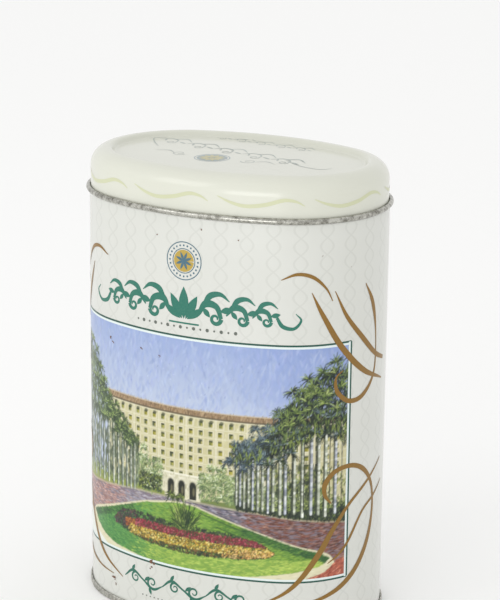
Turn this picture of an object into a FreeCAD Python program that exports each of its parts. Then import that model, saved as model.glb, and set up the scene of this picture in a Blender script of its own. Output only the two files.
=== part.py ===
import FreeCAD, Part
import math
import os

# Oval tinplate tin with a slip lid, in millimetres.
# +Z is up, X runs along the long side, and the printed front faces -Y.
# The origin is the middle of the oval, on the surface that the tin stands on.

# ---- plan shape: an oval of four tangent arcs, measured over the outside of the wall
oval_length = 132.0
oval_width = 92.0
end_radius = 41.5

# ---- sheet
tinplate = 0.25

# ---- base double seam, drawn as its five layers of sheet with a little air between them
layer_gap = 0.05
seam_height = 2.8
seam_corner_radius = 0.35
hook_end_gap = 0.4

# ---- base end
panel_height = 3.4
panel_corner_radius = 0.9
panel_bead_inset = 12.0
panel_bead_run = 2.0
panel_bead_radius = 1.2
panel_bead_angle = 30.0

# ---- wall, with the neck that the lid slips over
wall_height = 176.7
neck_height = 12.5
neck_curl_diameter = 1.8
neck_curl_turn = 300.0
joggle_radius = 0.6

# ---- side seam, at the middle of the back
side_seam_width = 5.0
side_seam_layers = 3
side_seam_groove_width = 0.4
side_seam_groove_depth = 0.12
side_seam_end_gap = 0.6

# ---- lid
lid_inset = 0.5
lid_clearance = 0.3
lid_rest_gap = 0.3
lid_height = 18.2
shoulder_radius = 7.5
recess_depth = 2.2
recess_crest_radius = 2.2
recess_foot_radius = 1.4
recess_slope = 55.0
lid_curl_diameter = 2.2
lid_curl_turn = 300.0
lid_panel_margin = 3.0

os.makedirs("parts", exist_ok=True)

half_length = oval_length / 2
half_width = oval_width / 2
half_sheet = tinplate / 2
end_centre = half_length - end_radius
side_radius = (half_length ** 2 + half_width ** 2 - 2 * half_length * end_radius) / (2 * (half_width - end_radius))
side_centre = side_radius - half_width
tangent_angle = math.degrees(math.atan2(side_centre, end_centre))

# The four arcs: centre x, centre y, radius, start angle, sweep angle.
oval_arcs = [
    (end_centre, 0.0, end_radius, -tangent_angle, 2 * tangent_angle),
    (0.0, -side_centre, side_radius, tangent_angle, 180 - 2 * tangent_angle),
    (-end_centre, 0.0, end_radius, 180 - tangent_angle, 2 * tangent_angle),
    (0.0, side_centre, side_radius, 180 + tangent_angle, 180 - 2 * tangent_angle),
]
up = FreeCAD.Vector(0, 0, 1)


def on_arc(cx, cy, radius, angle, z):
    """Return the point at an angle on a horizontal circle."""
    turn = math.radians(angle)
    return FreeCAD.Vector(cx + radius * math.cos(turn), cy + radius * math.sin(turn), z)


def oval_plate(offset, z, thickness):
    """Return a flat oval plate whose edge stands outside the oval by the offset."""
    edges = []
    for cx, cy, radius, start, sweep in oval_arcs:
        ends = [on_arc(cx, cy, radius + offset, start + share * sweep, z) for share in (0, 0.5, 1)]
        edges.append(Part.Arc(*ends).toShape())
    return Part.Face(Part.Wire(edges)).extrude(up * thickness)


def along_arc(section, arc, start, sweep):
    """Turn a section, drawn as offset and height, about one arc's own axis."""
    cx, cy, radius = arc[:3]
    placed = section.copy()
    placed.translate(FreeCAD.Vector(radius, 0, 0))
    solid = placed.revolve(FreeCAD.Vector(0, 0, 0), up, sweep)
    solid.rotate(FreeCAD.Vector(0, 0, 0), up, start)
    solid.translate(FreeCAD.Vector(cx, cy, 0))
    return solid


def around_oval(section):
    """Carry a section round all four arcs and join the lengths into one solid."""
    lengths = [along_arc(section, arc, arc[3], arc[4]) for arc in oval_arcs]
    return lengths[0].multiFuse(lengths[1:])


def joined(pieces):
    """Fuse pieces into one solid and drop the seams between coplanar faces."""
    solid = pieces[0]
    if len(pieces) > 1:
        solid = pieces[0].multiFuse(pieces[1:]).removeSplitter()
    return solid.Solids[0]


def sheet_section(offset, height, heading, steps):
    """Draw bent sheet as a face: the middle line starts at offset and height.

    Each step is ("run", length) or ("bend", radius, turn in degrees, left positive).
    The heading is in degrees: 0 points away from the tin and 90 points up.
    """
    x, z, direction = offset, height, math.radians(heading)
    left, right = [], []

    def side(px, pz, angle, distance):
        return FreeCAD.Vector(px - distance * math.sin(angle), 0, pz + distance * math.cos(angle))

    start_left, start_right = side(x, z, direction, half_sheet), side(x, z, direction, -half_sheet)
    last_left, last_right = start_left, start_right
    for step in steps:
        if step[0] == "run":
            x += step[1] * math.cos(direction)
            z += step[1] * math.sin(direction)
            new_left, new_right = side(x, z, direction, half_sheet), side(x, z, direction, -half_sheet)
            left.append(Part.LineSegment(last_left, new_left).toShape())
            right.append(Part.LineSegment(last_right, new_right).toShape())
        else:
            radius, turn = step[1], math.radians(step[2])
            signed = math.copysign(radius, turn)
            cx, cz = x - signed * math.sin(direction), z + signed * math.cos(direction)
            points = []
            for share in (0.5, 1):
                angle = direction + share * turn
                px, pz = cx + signed * math.sin(angle), cz - signed * math.cos(angle)
                points.append((side(px, pz, angle, half_sheet), side(px, pz, angle, -half_sheet)))
            x, z, direction = px, pz, direction + turn
            (mid_left, mid_right), (new_left, new_right) = points
            left.append(Part.Arc(last_left, mid_left, new_left).toShape())
            right.append(Part.Arc(last_right, mid_right, new_right).toShape())
        last_left, last_right = new_left, new_right
    start_cap = Part.LineSegment(start_right, start_left).toShape()
    end_cap = Part.LineSegment(last_left, last_right).toShape()
    wire = Part.Wire(Part.__sortEdges__([start_cap] + left + [end_cap] + right))
    return Part.Face(wire)


def drop_of_bends(radius, turn):
    """Return how far the middle line shifts sideways in an S of two equal bends."""
    return 2 * radius * (1 - math.cos(math.radians(turn)))


def run_of_bends(radius, turn):
    """Return how far the middle line advances in an S of two equal bends."""
    return 2 * radius * math.sin(math.radians(turn))


# ---- places across the seam, as offsets of each layer's middle line
layer_pitch = tinplate + layer_gap
seam_bend_radius = layer_pitch
wall_middle = -half_sheet
chuck_wall_middle = wall_middle - layer_pitch
cover_hook_middle = wall_middle + layer_pitch
body_hook_middle = cover_hook_middle + layer_pitch
seaming_wall_middle = body_hook_middle + layer_pitch

# ---- heights of the two hooks' bends, to the bends' centres
body_bend_height = half_sheet + layer_pitch + seam_bend_radius
cover_bend_height = seam_height - half_sheet - seam_bend_radius


def base_end():
    """Pressed base: beaded panel, chuck wall, and the outer layers of the double seam."""
    plate_offset = chuck_wall_middle - panel_bead_inset
    bead = [
        ("run", panel_bead_run),
        ("bend", panel_bead_radius, panel_bead_angle),
        ("bend", panel_bead_radius, -panel_bead_angle),
    ]
    panel_drop = drop_of_bends(panel_bead_radius, panel_bead_angle)
    bead_run = panel_bead_run + run_of_bends(panel_bead_radius, panel_bead_angle)
    panel_run = panel_bead_inset - bead_run - panel_corner_radius
    chuck_run = panel_height - panel_corner_radius - half_sheet - seam_corner_radius
    seam_floor_run = seaming_wall_middle - chuck_wall_middle - 2 * seam_corner_radius
    wall_run = cover_bend_height - half_sheet - seam_corner_radius
    hook_run = cover_bend_height - body_bend_height - hook_end_gap
    start_height = panel_height - panel_drop
    section = sheet_section(plate_offset, start_height, 0, bead + [
        ("run", panel_run),
        ("bend", panel_corner_radius, -90),
        ("run", chuck_run),
        ("bend", seam_corner_radius, 90),
        ("run", seam_floor_run),
        ("bend", seam_corner_radius, 90),
        ("run", wall_run),
        ("bend", seam_bend_radius, 180),
        ("run", hook_run),
    ])
    plate = oval_plate(plate_offset, start_height - half_sheet, tinplate)
    return joined([around_oval(section), plate])


def body_wall():
    """Printed wall: hook into the base seam, tall wall, joggle, neck and inward curl."""
    hook_run = cover_bend_height - body_bend_height - hook_end_gap
    neck_middle = -lid_inset - tinplate - lid_clearance - half_sheet
    joggle_shift = wall_middle - neck_middle
    joggle_turn = math.degrees(math.acos(1 - joggle_shift / (2 * joggle_radius)))
    wall_run = wall_height - body_bend_height
    curl_radius = neck_curl_diameter / 2 - half_sheet
    neck_run = neck_height - run_of_bends(joggle_radius, joggle_turn) - neck_curl_diameter / 2
    section = sheet_section(body_hook_middle, body_bend_height + hook_run, -90, [
        ("run", hook_run),
        ("bend", seam_bend_radius, -180),
        ("run", wall_run),
        ("bend", joggle_radius, joggle_turn),
        ("bend", joggle_radius, -joggle_turn),
        ("run", neck_run),
        ("bend", curl_radius, neck_curl_turn),
    ])
    back = oval_arcs[1]
    bottom = panel_height + half_sheet + side_seam_end_gap
    top = wall_height - side_seam_end_gap
    strip_depth = side_seam_layers * tinplate
    strip = side_patch(back, -tinplate - strip_depth, -tinplate, bottom, top, side_seam_width)
    groove_bottom = seam_height + side_seam_end_gap
    groove = side_patch(back, -side_seam_groove_depth, tinplate, groove_bottom, top, side_seam_groove_width)
    return joined([around_oval(section), strip]).cut(groove).Solids[0]


def side_patch(arc, inner, outer, bottom, top, width):
    """Return a block that follows the middle of one side, between two offsets."""
    corners = [(inner, bottom), (outer, bottom), (outer, top), (inner, top), (inner, bottom)]
    face = Part.Face(Part.makePolygon([FreeCAD.Vector(x, 0, z) for x, z in corners]))
    sweep = math.degrees(width / arc[2])
    middle = arc[3] + arc[4] / 2
    return along_arc(face, arc, middle - sweep / 2, sweep)


def lid():
    """Slip lid in one pressing: recessed panel, rounded shoulder, skirt and outward curl."""
    skirt_middle = -lid_inset - half_sheet
    curl_radius = lid_curl_diameter / 2 - half_sheet
    # The curl comes down beside the joggle's upper bend, and stops a rest gap short of it.
    reach = joggle_radius + half_sheet + lid_curl_diameter / 2 + lid_rest_gap
    sideways = (skirt_middle + curl_radius) - (wall_middle - joggle_radius)
    curl_bottom = wall_height + math.sqrt(reach ** 2 - sideways ** 2) - lid_curl_diameter / 2
    top = curl_bottom + lid_height
    shoulder_middle = shoulder_radius - half_sheet
    slope = math.radians(recess_slope)
    slope_fall = recess_depth - (recess_crest_radius + recess_foot_radius) * (1 - math.cos(slope))
    slope_run = slope_fall / math.sin(slope)
    recess_width = (recess_crest_radius + recess_foot_radius) * math.sin(slope) + slope_run * math.cos(slope)
    foot_offset = skirt_middle - shoulder_middle - recess_width
    panel_middle = top - half_sheet - recess_depth
    skirt_run = lid_height - shoulder_radius - lid_curl_diameter / 2
    plate_offset = foot_offset - lid_panel_margin
    section = sheet_section(plate_offset, panel_middle, 0, [
        ("run", lid_panel_margin),
        ("bend", recess_foot_radius, recess_slope),
        ("run", slope_run),
        ("bend", recess_crest_radius, -recess_slope),
        ("bend", shoulder_middle, -90),
        ("run", skirt_run),
        ("bend", curl_radius, lid_curl_turn),
    ])
    plate = oval_plate(plate_offset, panel_middle - half_sheet, tinplate)
    return joined([around_oval(section), plate])


nodes = {
    "body_wall": body_wall,
    "base_end": base_end,
    "lid": lid,
}
for name, make in nodes.items():
    shape = make()
    box = shape.BoundBox
    print(name, shape.isValid(), len(shape.Solids), round(shape.Volume, 1), round(box.ZMin, 3), round(box.ZMax, 3))
    shape.exportStep("parts/" + name + ".step")
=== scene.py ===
import math

import bmesh
import bpy
import numpy as np
from mathutils import Matrix, Vector


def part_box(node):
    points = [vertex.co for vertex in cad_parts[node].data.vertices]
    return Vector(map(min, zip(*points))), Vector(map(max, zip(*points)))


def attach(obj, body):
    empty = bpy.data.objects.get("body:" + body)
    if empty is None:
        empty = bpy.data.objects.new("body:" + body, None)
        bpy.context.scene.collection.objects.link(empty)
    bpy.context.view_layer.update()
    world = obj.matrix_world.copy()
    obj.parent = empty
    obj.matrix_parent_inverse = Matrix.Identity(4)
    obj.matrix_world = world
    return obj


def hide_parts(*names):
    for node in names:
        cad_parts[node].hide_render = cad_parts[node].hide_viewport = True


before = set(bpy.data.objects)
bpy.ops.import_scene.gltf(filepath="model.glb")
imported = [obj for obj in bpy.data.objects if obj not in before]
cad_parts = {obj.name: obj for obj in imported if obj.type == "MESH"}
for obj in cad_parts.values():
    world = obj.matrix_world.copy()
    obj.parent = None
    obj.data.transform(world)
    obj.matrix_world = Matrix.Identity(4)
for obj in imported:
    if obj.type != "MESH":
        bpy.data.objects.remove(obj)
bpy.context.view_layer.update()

# ---------------------------------------------------------------- printed wall
# One sheet of 0.25 mm tinplate, wrapped into an oval and lock-seamed at the back. It is hooked
# into the base seam below, and necked in above for the lid, with a safety curl on its edge.
# Lengths here are millimetres until a finished mesh is scaled to metres.
MM = 0.001
SHEET = 0.25
HOOK_STANDOFF = 0.6
END_RADIUS = 41.5

# The sheets stand inside the seam and the bead by the hook's standoff, and the sides are arcs
# that run tangent into the end arcs.
wall_low, wall_high = (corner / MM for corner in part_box("body_wall"))
lid_low, lid_high = (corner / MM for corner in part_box("lid"))
half_length = wall_high.x - HOOK_STANDOFF
half_width = wall_high.y - HOOK_STANDOFF
end_centre = half_length - END_RADIUS
side_radius = (half_length ** 2
               + half_width ** 2 - 2 * half_length * END_RADIUS) / (2 * (half_width - END_RADIUS))
side_centre = side_radius - half_width
tangent = math.atan2(side_centre, end_centre)
side_half_arc = side_radius * (math.pi / 2 - tangent)
end_arc = END_RADIUS * 2 * tangent
half_way_round = 2 * side_half_arc + end_arc


def along_oval(distance, offset=0.0):
    """Return x, y at a distance along the wall from the middle of the front, +X way positive."""
    run = abs(distance)
    if run <= side_half_arc:
        angle = run / side_radius
        x = (side_radius + offset) * math.sin(angle)
        y = side_centre - (side_radius + offset) * math.cos(angle)
    elif run <= side_half_arc + end_arc:
        angle = (run - side_half_arc) / END_RADIUS - tangent
        x = end_centre + (END_RADIUS + offset) * math.cos(angle)
        y = (END_RADIUS + offset) * math.sin(angle)
    else:
        angle = (half_way_round - run) / side_radius
        x = (side_radius + offset) * math.sin(angle)
        y = (side_radius + offset) * math.cos(angle) - side_centre
    return math.copysign(x, distance), y


def distance_along(x, y):
    """Return the distance along the wall from the middle of the front to the point nearest x, y."""
    angle = math.atan2(y, abs(x) - end_centre)
    if abs(angle) <= tangent and abs(x) > end_centre * 0.5:
        run = side_half_arc + (angle + tangent) * END_RADIUS
    elif y < 0:
        run = math.atan2(abs(x), side_centre - y) * side_radius
    else:
        run = half_way_round - math.atan2(abs(x), side_centre + y) * side_radius
    return math.copysign(run, x)


SUPPORT = 0.2


def bent_sheet(offset, height, heading, steps, bend_step=12.0):
    """Return points along bent sheet, as offset and height.

    A step is ("run", length) or ("bend", radius, turn in degrees, left positive).
    """
    points = [(offset, height)]
    x, z, direction = offset, height, math.radians(heading)
    for step in steps:
        if step[0] == "run":
            # A support ring near each end keeps the bends' soft shading off the flat.
            length = step[1]
            rings = [SUPPORT, length - SUPPORT] if length > 4 * SUPPORT else []
            for stop in rings + [length]:
                points.append((x + stop * math.cos(direction), z + stop * math.sin(direction)))
            x, z = points[-1]
            continue
        radius, turn = step[1], math.radians(step[2])
        signed = math.copysign(radius, turn)
        cx, cz = x - signed * math.sin(direction), z + signed * math.cos(direction)
        pieces = max(2, math.ceil(abs(step[2]) / bend_step))
        for piece in range(1, pieces + 1):
            angle = direction + turn * piece / pieces
            points.append((cx + signed * math.sin(angle), cz - signed * math.cos(angle)))
        (x, z), direction = points[-1], direction + turn
    return points


SIDE_STEPS = 12
END_STEPS = 64
WELD = 0.002


def oval_sheet(section):
    """Spin a section round the oval's arcs, starting and ending at the middle of the back."""
    bm = bmesh.new()
    line = [bm.verts.new((0, half_width + offset, height)) for offset, height in section]
    moving = line + [bm.edges.new(pair) for pair in zip(line, line[1:])]
    side_turn, end_turn = math.pi / 2 - tangent, 2 * tangent
    arcs = [
        (0, -side_centre, side_turn, SIDE_STEPS),
        (end_centre, 0, end_turn, END_STEPS),
        (0, side_centre, 2 * side_turn, 2 * SIDE_STEPS),
        (-end_centre, 0, end_turn, END_STEPS),
        (0, -side_centre, side_turn, SIDE_STEPS),
    ]
    for x, y, turn, steps in arcs:
        spun = bmesh.ops.spin(bm, geom=moving, cent=(x, y, 0), axis=(0, 0, -1), angle=turn, steps=steps)
        moving = spun["geom_last"]
    bmesh.ops.remove_doubles(bm, verts=bm.verts, dist=WELD)
    return bm


def face_outwards(bm):
    """Turn the sheet's printed side out, judged on the tallest face of the wall or skirt."""
    bmesh.ops.recalc_face_normals(bm, faces=bm.faces)
    widest = max((f for f in bm.faces if abs(f.normal.z) < 0.1), key=lambda f: f.calc_area())
    middle = widest.calc_center_median()
    if widest.normal.dot(Vector((middle.x, middle.y, 0))) < 0:
        bmesh.ops.reverse_faces(bm, faces=bm.faces)


def unroll(bm):
    """Give the sheet its flat print layout, in millimetres along the wall and up it."""
    layout = bm.loops.layers.uv.new("print")
    for face in bm.faces:
        side = math.copysign(1, face.calc_center_median().x)
        for loop in face.loops:
            x, y, z = loop.vert.co
            loop[layout].uv = side * abs(distance_along(x, y)), z


CREASE_ANGLE = 40


def finished(bm, name, materials, body):
    """Turn a millimetre bmesh into a smooth object in metres that rides on a body."""
    bmesh.ops.scale(bm, vec=(MM, MM, MM), verts=bm.verts)
    mesh = bpy.data.meshes.new(name)
    bm.to_mesh(mesh)
    bm.free()
    mesh.shade_smooth()
    mesh.set_sharp_from_angle(angle=math.radians(CREASE_ANGLE))
    for material in materials:
        mesh.materials.append(material)
    piece = bpy.data.objects.new(name, mesh)
    bpy.context.scene.collection.objects.link(piece)
    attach(piece, body)
    return piece


def thicken(piece, inside_slots=1):
    """Give a middle surface the sheet's thickness, with its inner side in the next material."""
    solid = piece.modifiers.new("sheet", "SOLIDIFY")
    solid.thickness = SHEET * MM
    solid.offset = 0
    solid.use_even_offset = True
    solid.material_offset = inside_slots
    solid.material_offset_rim = inside_slots


def linear(code):
    """Turn an sRGB hex colour into linear red, green, blue and alpha."""
    channels = [int(code[i:i + 2], 16) / 255 for i in (1, 3, 5)]
    return tuple(c / 12.92 if c <= 0.04045 else ((c + 0.055) / 1.055) ** 2.4 for c in channels) + (1,)


def node(tree, kind, links=None, settings=None, **values):
    """Add a node: links and values go by socket name or number, settings by attribute."""
    new = tree.nodes.new(kind)
    for key, value in (settings or {}).items():
        setattr(new, key, value)
    for key, value in values.items():
        new.inputs[key.replace("_", " ")].default_value = value
    for key, source in (links or {}).items():
        if isinstance(source, (int, float, tuple)):
            new.inputs[key].default_value = source
        else:
            tree.links.new(source, new.inputs[key])
    return new


def new_material(name):
    """Return an empty node material, its tree and its Principled shader."""
    material = bpy.data.materials.new(name)
    material.use_nodes = True
    return material, material.node_tree, material.node_tree.nodes["Principled BSDF"]


def bare_tinplate(name, dull, bright, rough, metal=1.0, ripples=False):
    """Tinplate without print: a tin-grey mirror dulled by handling, clouded about every 2 mm."""
    material, tree, shader = new_material(name)
    place = node(tree, "ShaderNodeTexCoord").outputs["Object"]
    cloud = node(tree, "ShaderNodeTexNoise", {"Vector": place}, Scale=1000 / 2.0, Detail=5.0,
                 Roughness=0.6)
    tone = node(tree, "ShaderNodeValToRGB", {"Fac": cloud.outputs["Fac"]})
    tone.color_ramp.elements[0].position = 0.34
    tone.color_ramp.elements[0].color = linear(dull)
    tone.color_ramp.elements[1].position = 0.62
    tone.color_ramp.elements[1].color = linear(bright)
    tree.links.new(tone.outputs["Color"], shader.inputs["Base Color"])
    # Fine scuffs about 0.7 mm apart vary the polish.
    scuff = node(tree, "ShaderNodeTexNoise", {"Vector": place}, Scale=1000 / 0.7, Detail=3.0)
    polish = node(tree, "ShaderNodeMapRange", {"Value": scuff.outputs["Fac"]})
    polish.inputs["To Min"].default_value = rough - 0.1
    polish.inputs["To Max"].default_value = rough + 0.12
    tree.links.new(polish.outputs["Result"], shader.inputs["Roughness"])
    shader.inputs["Metallic"].default_value = metal
    bump = node(tree, "ShaderNodeBump", {"Height": scuff.outputs["Fac"]}, Strength=0.15, Distance=0.0001)
    if ripples:
        # Roller chatter, an upright ripple about every 2.4 mm round the rim.
        layout = node(tree, "ShaderNodeUVMap", settings={"uv_map": "print"}).outputs["UV"]
        wave = node(tree, "ShaderNodeTexWave", {"Vector": layout}, Scale=1 / 2.4, Distortion=1.2,
                    Detail=2.0)
        bump = node(tree, "ShaderNodeBump",
                    {"Height": wave.outputs["Fac"], "Normal": bump.outputs["Normal"]},
                    Strength=0.5, Distance=0.0002)
    tree.links.new(bump.outputs["Normal"], shader.inputs["Normal"])
    return material


def math_node(tree, operation, first, second=0.0):
    """Add a Math node and return its output."""
    return node(tree, "ShaderNodeMath", {0: first, 1: second}, {"operation": operation}).outputs[0]


def blended(tree, mask, under, over):
    """Lay one colour over another where the mask is 1."""
    mixer = node(tree, "ShaderNodeMix", {0: mask, 6: under, 7: over}, {"data_type": "RGBA"})
    return mixer.outputs[2]


def trellis_mask(tree, across, upwards=14.0, sway=0.25, line=0.045):
    """Return a mask of fine wavy uprights that cross in an ogee lattice, in print millimetres."""
    layout = node(tree, "ShaderNodeUVMap", settings={"uv_map": "print"}).outputs["UV"]
    parts = node(tree, "ShaderNodeSeparateXYZ", {"Vector": layout})
    column = math_node(tree, "DIVIDE", parts.outputs["X"], across)
    climb = math_node(tree, "MULTIPLY", parts.outputs["Y"], 2 * math.pi / upwards)
    wave = math_node(tree, "MULTIPLY", math_node(tree, "COSINE", climb), sway)
    masks = []
    for operation in ("ADD", "SUBTRACT"):
        shifted = math_node(tree, "FRACT", math_node(tree, operation, column, wave))
        away = math_node(tree, "ABSOLUTE", math_node(tree, "SUBTRACT", shifted, 0.5))
        masks.append(math_node(tree, "LESS_THAN", away, line))
    return math_node(tree, "MAXIMUM", masks[0], masks[1])


TRELLIS_COLUMNS = 33
TRELLIS_STRENGTH = 0.18


def pinholes(tree, place):
    """Return a mask of uneven pinholes about 0.5 mm across, one to a 9 mm cell at most."""
    uneven = node(tree, "ShaderNodeTexNoise", {"Vector": place}, Scale=1000 / 0.6, Detail=1.0)
    cells = node(tree, "ShaderNodeTexVoronoi", {"Vector": place}, Scale=1000 / 9.0)
    waver = math_node(tree, "MULTIPLY", uneven.outputs["Fac"], 0.06)
    small = math_node(tree, "LESS_THAN", math_node(tree, "SUBTRACT", cells.outputs["Distance"], waver),
                      -0.005)
    draw = node(tree, "ShaderNodeSeparateXYZ", {"Vector": cells.outputs["Color"]}).outputs["X"]
    chosen = math_node(tree, "GREATER_THAN", draw, 0.70)
    return math_node(tree, "MULTIPLY", chosen, small)


def printed_cream(name, pale, deep, trellis=False):
    """Cream litho ink under gloss varnish: nearly even, faintly clouded, with a few pinholes."""
    material, tree, shader = new_material(name)
    place = node(tree, "ShaderNodeTexCoord").outputs["Object"]
    cloud = node(tree, "ShaderNodeTexNoise", {"Vector": place}, Scale=1000 / 26.0, Detail=4.0)
    colour = blended(tree, cloud.outputs["Fac"], linear(deep), linear(pale))
    if trellis:
        mask = trellis_mask(tree, 2 * half_way_round / TRELLIS_COLUMNS)
        lattice = math_node(tree, "MULTIPLY", mask, TRELLIS_STRENGTH)
        colour = blended(tree, lattice, colour, linear("#a9aba2"))
    # Rust has started in the pinholes, and shows through the varnish as faint brown.
    faint = math_node(tree, "MULTIPLY", pinholes(tree, place), 0.6)
    colour = blended(tree, faint, colour, linear("#8a7560"))
    tree.links.new(colour, shader.inputs["Base Color"])
    shader.inputs["Roughness"].default_value = 0.34
    shader.inputs["Coat Weight"].default_value = 0.5
    shader.inputs["Coat Roughness"].default_value = 0.10
    # The varnish settles in a slight orange peel, about 2.5 mm from crest to crest.
    peel = node(tree, "ShaderNodeTexNoise", {"Vector": place}, Scale=1000 / 2.5, Detail=2.0)
    bump = node(tree, "ShaderNodeBump", {"Height": peel.outputs["Fac"]}, Strength=0.10, Distance=0.0001)
    tree.links.new(bump.outputs["Normal"], shader.inputs["Normal"])
    return material


NECK_INSET = 1.05
JOGGLE_RADIUS = 0.6
WALL_TOP = 176.7
NECK_CURL = 1.8
CURL_TURN = 300
LAYER_PITCH = 0.3

wall_middle = -SHEET / 2
hook_floor = wall_low.z + SHEET / 2 + LAYER_PITCH
joggle_turn = math.degrees(math.acos(1 - NECK_INSET / (2 * JOGGLE_RADIUS)))
joggle_rise = 2 * JOGGLE_RADIUS * math.sin(math.radians(joggle_turn))
neck_run = wall_high.z - WALL_TOP - joggle_rise - NECK_CURL / 2
wall_section = bent_sheet(wall_middle, hook_floor, 90, [
    ("run", WALL_TOP - hook_floor),
    ("bend", JOGGLE_RADIUS, joggle_turn),
    ("bend", JOGGLE_RADIUS, -joggle_turn),
    ("run", neck_run),
    ("bend", NECK_CURL / 2 - SHEET / 2, CURL_TURN),
])
cream_print = printed_cream("varnished_cream_print", "#d5d6d0", "#cecfc8", trellis=True)
# A clear lacquer over the plain tin scatters about half of the light: the inside looks pale grey.
# The lid's bead has lost its lacquer to handling and is shinier. Its darker tone is partly real tarnish
# and partly a painted dark reflection.
plain_tin = bare_tinplate("lacquered_tinplate", "#d6d4cc", "#e6e4dd", 0.42, metal=0.45)
worn_tin_painted_reflection = bare_tinplate("worn_tinplate_bead_painted_reflection", "#77756d", "#c3c2ba", 0.26)
wall_bm = oval_sheet(wall_section)

# The lock seam shows outside as a fine upright groove at the middle of the back.
GROOVE_FOOT = 3.4
GROOVE_TOP = WALL_TOP - 0.6
GROOVE_DEPTH = 0.12
GROOVE_FLOOR = 0.18
GROOVE_MOUTH = 0.3
BACK_DEPTH = 2
BACK_REACH = 4
LEVEL, UPRIGHT = (0, 0, 1), (1, 0, 0)
cuts = [((0, 0, GROOVE_FOOT), LEVEL), ((0, 0, GROOVE_TOP), LEVEL)]
cuts += [((x, 0, 0), UPRIGHT) for x in (-GROOVE_MOUTH, -GROOVE_FLOOR, GROOVE_FLOOR, GROOVE_MOUTH)]
for point, facing in cuts:
    back = []
    for face in wall_bm.faces:
        middle = face.calc_center_median()
        if middle.y > half_width - BACK_DEPTH and abs(middle.x) < BACK_REACH:
            back.append(face)
    parts = back + list({e for f in back for e in f.edges}) + list({v for f in back for v in f.verts})
    bmesh.ops.bisect_plane(wall_bm, geom=parts, plane_co=point, plane_no=facing, dist=0.0001)
for vert in wall_bm.verts:
    x, y, z = vert.co
    if abs(x) < GROOVE_FLOOR + 0.01 and y > 0 and GROOVE_FOOT - 0.01 < z < GROOVE_TOP + 0.01:
        vert.co.y -= GROOVE_DEPTH
face_outwards(wall_bm)
unroll(wall_bm)
# The print stops at the joggle: the neck above it is plain tin, as is the whole inside.
PRINTED, PLAIN_NECK = 0, 2
neck_foot = WALL_TOP + joggle_rise / 2
for face in wall_bm.faces:
    face.material_index = PLAIN_NECK if face.calc_center_median().z > neck_foot else PRINTED
wall = finished(wall_bm, "printed_wall", [cream_print, plain_tin, plain_tin, plain_tin], "tin")
thicken(wall)
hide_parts("body_wall")

# Inside, the folded seam is a flat strip three sheets thick behind the groove.
SEAM_WIDTH = 5.0
SEAM_FOOT = 4.2
SEAM_LAYERS = 3
STRIP_GAP = 0.02
STRIP_EDGE = 0.2
strip_bm = bmesh.new()
bmesh.ops.create_cube(strip_bm, size=1)
strip_depth = SEAM_LAYERS * SHEET
strip_middle = half_width - SHEET - STRIP_GAP - strip_depth / 2
bmesh.ops.scale(strip_bm, vec=(SEAM_WIDTH, strip_depth, GROOVE_TOP - SEAM_FOOT), verts=strip_bm.verts)
bmesh.ops.translate(strip_bm, vec=(0, strip_middle, (SEAM_FOOT + GROOVE_TOP) / 2), verts=strip_bm.verts)
long_edges = [e for e in strip_bm.edges if abs(e.verts[0].co.z - e.verts[1].co.z) > 1]
bmesh.ops.bevel(strip_bm, geom=long_edges, offset=STRIP_EDGE, affect="EDGES", segments=3, profile=0.5,
                material=-1)
finished(strip_bm, "side_seam", [plain_tin], "tin")

# ---------------------------------------------------------------- printed picture
# The garden view on the front, litho printed in process inks on the wall: sky, a long plain
# house, two palm avenues, a brick drive and a lawn with a flower bed. Painted stroke by stroke
# as seen laid flat, in millimetres, then wrapped onto the wall as a thin film of ink.
FRAME_HALF_WIDTH = 72.5
FRAME_BOTTOM = 24.2
FRAME_TOP = 126.8
FRAME_GAP = 1.35
# The print's points are 0.4 mm apart, and each averages 2 x 2 finer ones.
PRINT_STEP = 0.4
FINE = 2
INK_STANDOFF = 0.02
SEED = 11

left, right = -FRAME_HALF_WIDTH + FRAME_GAP, FRAME_HALF_WIDTH - FRAME_GAP
bottom, top = FRAME_BOTTOM + FRAME_GAP, FRAME_TOP - FRAME_GAP
columns = round((right - left) / PRINT_STEP)
rows = round((top - bottom) / PRINT_STEP)
fine_step = PRINT_STEP / FINE
across = np.linspace(left, right, (columns + 1) * FINE)
upward = np.linspace(bottom, top, (rows + 1) * FINE)
every_s, every_z = np.meshgrid(across, upward)
picture = np.zeros((len(upward), len(across), 3))
chance = np.random.default_rng(SEED)


def ink(code):
    """Return a linear red, green, blue ink from an sRGB hex colour."""
    return np.array(linear(code)[:3])


def pick(codes):
    """Return one of several inks, a little stronger or weaker."""
    return ink(codes[chance.integers(len(codes))]) * chance.uniform(0.85, 1.15)


def dab(s, z, length, width, angle, colour, strength=1.0):
    """Touch the picture with one soft-edged brush mark, angled in degrees from level."""
    row, column = (z - bottom) / fine_step, (s - left) / fine_step
    reach = max(length, width) / 2 / fine_step + 1
    spot = (slice(max(0, int(row - reach)), max(0, int(row + reach) + 2)),
            slice(max(0, int(column - reach)), max(0, int(column + reach) + 2)))
    ds, dz = every_s[spot] - s, every_z[spot] - z
    c, n = math.cos(math.radians(angle)), math.sin(math.radians(angle))
    along, aside = (ds * c + dz * n) * 2 / length, (dz * c - ds * n) * 2 / width
    cover = strength * np.clip(1.6 - 1.6 * (along ** 2 + aside ** 2), 0, 1)[..., None]
    picture[spot] += (colour - picture[spot]) * cover


def block(s, z, width, height, colour, strength=1.0):
    """Touch the picture with one upright oblong, its middle at a place."""
    rows_in = slice(round((z - height / 2 - bottom) / fine_step),
                    round((z + height / 2 - bottom) / fine_step))
    columns_in = slice(max(0, round((s - width / 2 - left) / fine_step)),
                       max(0, round((s + width / 2 - left) / fine_step)))
    picture[rows_in, columns_in] += (colour - picture[rows_in, columns_in]) * strength


def lay(mask, code, strength=1.0):
    """Lay a flat wash of one ink over a mask of the whole picture."""
    cover = (np.clip(mask, 0, 1) * strength)[..., None]
    picture[:] += (ink(code) - picture) * cover


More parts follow.
